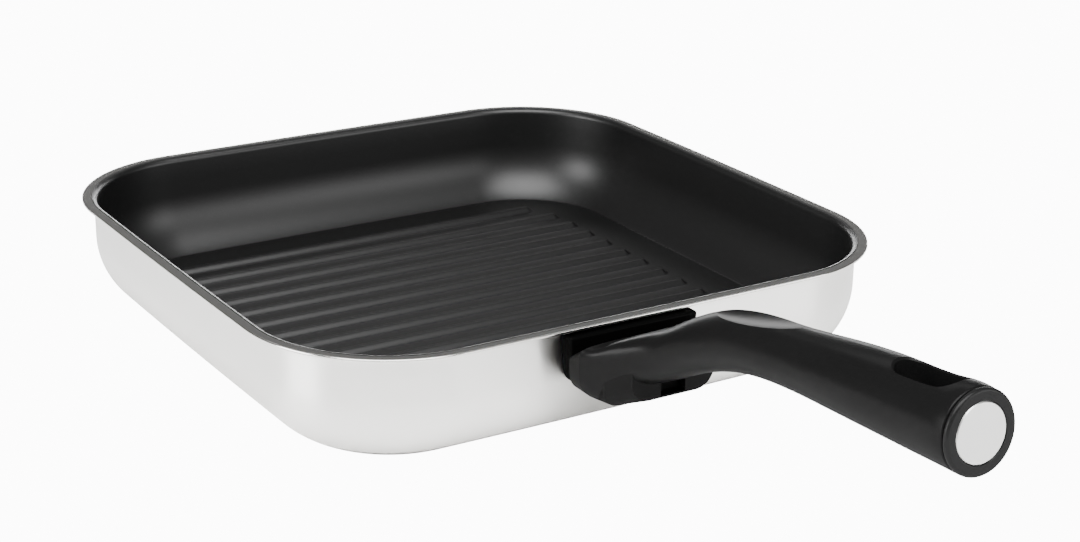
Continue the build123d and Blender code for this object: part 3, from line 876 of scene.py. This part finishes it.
@dataclass
class HandleEnd:
    """The ring and the disc that close the grip.

    Attributes:
        centre_x: of the grip's axis.
        end_y: how far along the handle that axis leaves the moulding.
        end_z: how high it leaves the moulding.
        tilt: how far the axis leans up from level, in degrees.
        diameter: of the ring.
        length: of the ring, past the moulding.
        edge: radius of its front edge.
        back_edge: radius of its back edge.
        groove: width of the groove between the moulding and the ring.
        groove_depth: of that groove.
        spigot_radius: of the plug behind the ring.
        spigot_length: of that plug.
        spigot_edge: bevel of the plug.
        disc_radius: of the disc.
        disc_height: of the disc's edge.
        disc_dome: how far the disc's middle stands proud.
        disc_bevel: of the disc's edge.
        gap: round the disc in its seat.
        seat_edge: bevel of the seat's mouth.
    """

    centre_x: float = -8.0
    end_y: float = -325.9
    end_z: float = 77.0
    tilt: float = 5.0
    diameter: float = 28.8
    length: float = 2.3
    edge: float = 1.2
    back_edge: float = 0.5
    groove: float = 0.4
    groove_depth: float = 1.0
    spigot_radius: float = 10.0
    spigot_length: float = 3.0
    spigot_edge: float = 0.4
    disc_radius: float = 10.2
    disc_height: float = 1.2
    disc_dome: float = 0.3
    disc_bevel: float = 0.35
    gap: float = 0.1
    seat_edge: float = 0.25
    # runs of each edge and of the dome
    back_steps: int = 6
    edge_steps: int = 8
    dome_steps: int = 8

    def place(self) -> Matrix:
        """Find the axis at the end of the moulding.

        Returns:
            Its place, with +Z out of the grip.
        """
        lean = math.radians(self.tilt)
        out = Vector((0, -math.cos(lean), math.sin(lean)))
        across = Vector((1, 0, 0))
        axes = Matrix((across, out.cross(across), out)).transposed().to_4x4()
        return Matrix.Translation(Vector((self.centre_x, self.end_y, self.end_z)) * MM) @ axes

    def cap(self) -> bpy.types.Object:
        """Build the plastic ring with its rounded edge, its groove and its spigot.

        Returns:
            The ring.
        """
        radius = self.diameter / 2
        seat = self.disc_radius + self.gap
        plug = self.spigot_radius
        outline = [(0, -self.spigot_length), (plug - self.spigot_edge, -self.spigot_length)]
        outline += [(plug, self.spigot_edge - self.spigot_length), (plug, 0)]
        outline += [(radius - self.groove_depth, 0), (radius - self.groove_depth, self.groove)]
        back = (radius - self.back_edge, self.groove + self.back_edge)
        outline += arc(back, self.back_edge, 270, 360, self.back_steps)
        front = (radius - self.edge, self.length - self.edge)
        outline += arc(front, self.edge, 0, 90, self.edge_steps)
        outline += [(seat + self.seat_edge, self.length), (seat, self.length - self.seat_edge)]
        outline += [(seat, self.length - self.disc_height), (0, self.length - self.disc_height)]
        ring = Turned("grip_end_ring", "handle", "end_cap", "cap_plastic", CAP_PLASTIC)
        return ring.spin([outline], [self.place()])

    def disc(self) -> bpy.types.Object:
        """Build the satin metal disc: a shallow dome with a bevelled edge.

        Returns:
            The disc.
        """
        top = self.length
        low = top - self.disc_height
        outline = [(0, low), (self.disc_radius, low), (self.disc_radius, top - self.disc_bevel)]
        face = self.disc_radius - self.disc_bevel
        for i in range(self.dome_steps + 1):
            share = 1 - i / self.dome_steps
            outline.append((face * share, top + self.disc_dome * (1 - share**2)))
        # satin-turned aluminium: an even pale grey, with rings so fine that they only soften it
        finish = Finish(
            "satin_aluminium_disc",
            colour="CFCFCD",
            metallic=1.0,
            roughness=0.36,
            grain_depth_mm=0.0015,
            pattern=Pattern.TURNED,
            centre=(self.centre_x, self.end_y, self.end_z),
            tilt=math.radians(self.tilt),
        )
        disc = Turned("grip_end_disc", "handle", "end_disc", "disc_metal", finish)
        return disc.spin([outline], [self.place()])

    def build(self) -> list[bpy.types.Object]:
        """Build both pieces."""
        return [self.cap(), self.disc()]


@dataclass
class Rivets:
    """Three rivets through the pan's front wall: domed heads inside, flat tails on the mount.

    Attributes:
        centre_x: of the middle rivet.
        count: number of rivets.
        pitch: from one to the next.
        level: height of their axes.
        inner_y: where the heads lie on the wall.
        tail_y: where the tails lie on the mount.
        shank: radius of the shank.
        head: radius of the head.
        head_height: of the dome.
        tail: radius of the tail.
        tail_height: of the tail.
        tail_edge: bevel of the tail.
        dome_steps: runs of the dome.
    """

    centre_x: float = -8.0
    count: int = 3
    pitch: float = 19.0
    level: float = 44.2
    inner_y: float = -134.2
    tail_y: float = -138.1
    shank: float = 2.4
    head: float = 4.5
    head_height: float = 1.8
    tail: float = 3.4
    tail_height: float = 1.2
    tail_edge: float = 0.3
    dome_steps: int = 9

    def build(self) -> list[bpy.types.Object]:
        """Build the row as one piece.

        Returns:
            The row.
        """
        run = self.inner_y - self.tail_y
        foot = -run - self.tail_height
        outline = [(0, foot), (self.tail - self.tail_edge, foot)]
        outline += [(self.tail, self.tail_edge - run - self.tail_height), (self.tail, -run)]
        outline += [(self.shank, -run), (self.shank, 0), (self.head, 0)]
        for i in range(1, self.dome_steps):
            turn = math.radians(90 * i / self.dome_steps)
            outline.append((self.head * math.cos(turn), self.head_height * math.sin(turn)))
        outline.append((0, self.head_height))
        places = []
        for i in range(self.count):
            x = self.centre_x + (i - (self.count - 1) / 2) * self.pitch
            spot = Matrix.Translation(Vector((x, self.inner_y, self.level)) * MM)
            places.append(spot @ Matrix.Rotation(-math.pi / 2, 4, "X"))
        rivets = Turned("wall_rivets", "pan", "bracket_rivets", "rivet_steel", PLAIN_STEEL, steps=40)
        return [rivets.spin([outline] * self.count, places)]


@dataclass
class LatchSpring:
    """The coil under the latch's bolt, built at one length, though the real coil shortens as the bolt
    drops.

    Attributes:
        wire: radius of the wire.
        turns: number of turns.
        turn_steps: runs round a turn.
        wire_steps: runs round the wire.
        travel: how far the bolt drops; not used.
        room: between the coil and the bolt.
        sharp: edges that bend more than this, in degrees, stay crisp.
    """

    wire: float = 0.25
    turns: int = 5
    turn_steps: int = 32
    wire_steps: int = 12
    travel: float = 2.0
    room: float = 0.05
    sharp: float = 60.0

    def build(self) -> list[bpy.types.Object]:
        """Wind the wire from the chamber's floor up to the bolt's seat.

        Returns:
            The coil.
        """
        low, high = (Vector(corner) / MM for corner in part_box("bolt_spring"))
        radius = (high.x - low.x) / 2 - self.wire
        rise = high.z - low.z - 2 * self.wire - self.room
        lead = math.atan2(rise / self.turns, 2 * math.pi * radius)
        foot = Vector(((low.x + high.x) / 2, (low.y + high.y) / 2, low.z))
        runs = self.turns * self.turn_steps
        wire_turns = [2 * math.pi * i / self.wire_steps for i in range(self.wire_steps)]
        rings = []
        for i in range(runs + 1):
            turn = 2 * math.pi * i / self.turn_steps
            out = Vector((math.cos(turn), math.sin(turn), 0))
            along = UP.cross(out) * math.cos(lead) + UP * math.sin(lead)
            centre = foot + out * radius + UP * (self.wire + rise * i / runs)
            up = out.cross(along)
            ring = []
            for t in wire_turns:
                ring.append((centre + (out * math.cos(t) + up * math.sin(t)) * self.wire) * MM)
            rings.append(ring)
        shape = bmesh.new()
        loft(shape, rings, cap_start=True, cap_end=True)
        spring = finished(shape, "latch_spring_coil", PLAIN_STEEL, self.sharp)
        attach(spring, "handle")
        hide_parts("bolt_spring")
        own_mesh(spring)
        return [spring]


@dataclass(frozen=True)
class SoftBox:
    """One lamp of the studio.

    Attributes:
        name: the lamp's name.
        place: where its middle hangs, in metres.
        target: the point that it faces.
        size: its width and height.
        power: in watts.
    """

    name: str
    place: tuple[float, float, float]
    target: tuple[float, float, float]
    size: tuple[float, float]
    power: float


@dataclass
class Studio:
    """Floor, lights and the camera.

    Attributes:
        floor_size: side of the floor, in metres.
        floor_colour: sRGB hex colour of its paper.
        floor_roughness: of the paper.
        floor_specular: level of the paper's reflection.
        azimuth: the camera's turn round the pan from the handle's end, in degrees.
        elevation: its height over the floor, in degrees.
        roll: its turn about its own axis, in degrees.
        distance: from its target, in metres.
        target: the point that it faces.
        lens: its focal length in millimetres.
        sensor: width of its sensor in millimetres.
        world_level: strength of the even light from all round.
        backdrop_level: strength of the floor's white where the camera sees it.
        boxes: the lamps.
    """

    floor_size: float = 8.0
    floor_colour: str = "F8F8F8"
    floor_roughness: float = 0.95
    floor_specular: float = 0.1
    azimuth: float = -32.131
    elevation: float = 20.039
    roll: float = 0.826
    distance: float = 0.852609
    target: tuple[float, float, float] = (-0.011971, -0.080169, 0.052)
    lens: float = 71.004
    sensor: float = 36.0
    world_level: float = 0.2
    backdrop_level: float = 12.0
    boxes: tuple[SoftBox, ...] = (
        # over the camera: the pan's floor, the crest and the round of the grip
        SoftBox("top_box", (-0.35, -0.65, 1.4), (0.0, -0.1, 0.0), (1.6, 1.1), 80.0),
        # whitens the left wall
        SoftBox("left_box", (-1.7, 0.15, 0.5), (0.0, 0.0, 0.03), (0.8, 0.9), 40.0),
        # whitens the front wall and the disc
        SoftBox("right_box", (1.1, -1.6, 0.5), (0.0, -0.1, 0.03), (1.1, 0.9), 24.0),
        # faint, from high behind: the far sides of the ribs
        SoftBox("rear_box", (1.05, 1.75, 1.85), (0.0, -0.05, 0.03), (1.8, 0.5), 9.0),
        # a low strip behind, mirrored along the lip and the handle's edges
        SoftBox("horizon_box", (1.5, 2.1, 0.2), (0.0, -0.1, 0.03), (3.0, 0.35), 60.0),
    )

    def camera(self) -> None:
        """Stand the camera where the photograph was taken."""
        a = math.radians(self.azimuth)
        e = math.radians(self.elevation)
        r = math.radians(self.roll)
        back = Vector((math.sin(a) * math.cos(e), -math.cos(a) * math.cos(e), math.sin(e)))
        right = Vector((math.cos(a), math.sin(a), 0))
        up = back.cross(right)
        turned_right = right * math.cos(r) + up * math.sin(r)
        turned_up = up * math.cos(r) - right * math.sin(r)
        data = bpy.data.cameras.new("camera")
        data.sensor_width = self.sensor
        data.lens = self.lens
        camera = bpy.data.objects.new("camera", data)
        place = Vector(self.target) + back * self.distance
        axes = Matrix((turned_right, turned_up, back)).transposed().to_4x4()
        camera.matrix_world = Matrix.Translation(place) @ axes
        bpy.context.scene.collection.objects.link(camera)
        bpy.context.scene.camera = camera

    def floor(self) -> None:
        """Lay the white floor."""
        mesh = bpy.data.meshes.new("floor")
        shape = bmesh.new()
        bmesh.ops.create_grid(shape, x_segments=1, y_segments=1, size=self.floor_size / 2)
        shape.to_mesh(mesh)
        shape.free()
        floor = bpy.data.objects.new("floor", mesh)
        bpy.context.scene.collection.objects.link(floor)
        material = bpy.data.materials.new("floor_paper")
        material.use_nodes = True
        tree = material.node_tree
        paper = tree.nodes["Principled BSDF"]
        paper.inputs["Base Color"].default_value = linear(self.floor_colour)
        paper.inputs["Roughness"].default_value = self.floor_roughness
        paper.inputs["Specular IOR Level"].default_value = self.floor_specular
        # the backdrop is overexposed to pure white to the camera, and plain paper in reflections
        path = add_node(tree, "ShaderNodeLightPath")
        glow = add_node(tree, "ShaderNodeEmission", {"Strength": self.backdrop_level})
        seen = add_node(
            tree,
            "ShaderNodeMixShader",
            links={
                0: path.outputs["Is Camera Ray"],
                1: paper.outputs["BSDF"],
                2: glow.outputs["Emission"],
            },
        )
        tree.links.new(seen.outputs["Shader"], tree.nodes["Material Output"].inputs["Surface"])
        floor.data.materials.append(material)

    def light(self, box: SoftBox) -> None:
        """Hang a soft box, facing its target.

        Args:
            box: the lamp to hang.
        """
        data = bpy.data.lights.new(box.name, "AREA")
        data.shape = "RECTANGLE"
        data.size, data.size_y = box.size
        data.energy = box.power
        lamp = bpy.data.objects.new(box.name, data)
        place = Vector(box.place)
        facing = (place - Vector(box.target)).to_track_quat("Z", "Y").to_matrix().to_4x4()
        lamp.matrix_world = Matrix.Translation(place) @ facing
        bpy.context.scene.collection.objects.link(lamp)

    def world(self) -> None:
        """Surround the pan with an even grey light."""
        world = bpy.data.worlds.new("studio")
        world.use_nodes = True
        background = world.node_tree.nodes["Background"]
        background.inputs["Color"].default_value = (1, 1, 1, 1)
        background.inputs["Strength"].default_value = self.world_level
        bpy.context.scene.world = world

    def build(self) -> None:
        """Set up the studio."""
        self.camera()
        self.floor()
        self.world()
        for box in self.boxes:
            self.light(box)


def dress_nodes(nodes: dict[str, bpy.types.Object]) -> None:
    """Give the CAD nodes that stay their finishes.

    Args:
        nodes: the frame's nodes by name.
    """
    for name, finish in CAD_FINISHES.items():
        node = nodes[name]
        node.data.materials.clear()
        node.data.materials.append(finish.material())
        LOG.info("%s dressed as %s", name, finish.name)


def main() -> None:
    """Dress the pan, build its detailed pieces and set up the studio."""
    logging.basicConfig(level=logging.INFO, format="%(name)s: %(message)s")
    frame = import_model()
    dress_nodes(frame["nodes"])
    for group in (Pan(), HandleEnd(), Rivets(), LatchSpring()):
        for piece in group.build():
            LOG.info("%s built with %d faces", piece.name, len(piece.data.polygons))
    Studio().build()


if __name__ == "__main__":
    main()
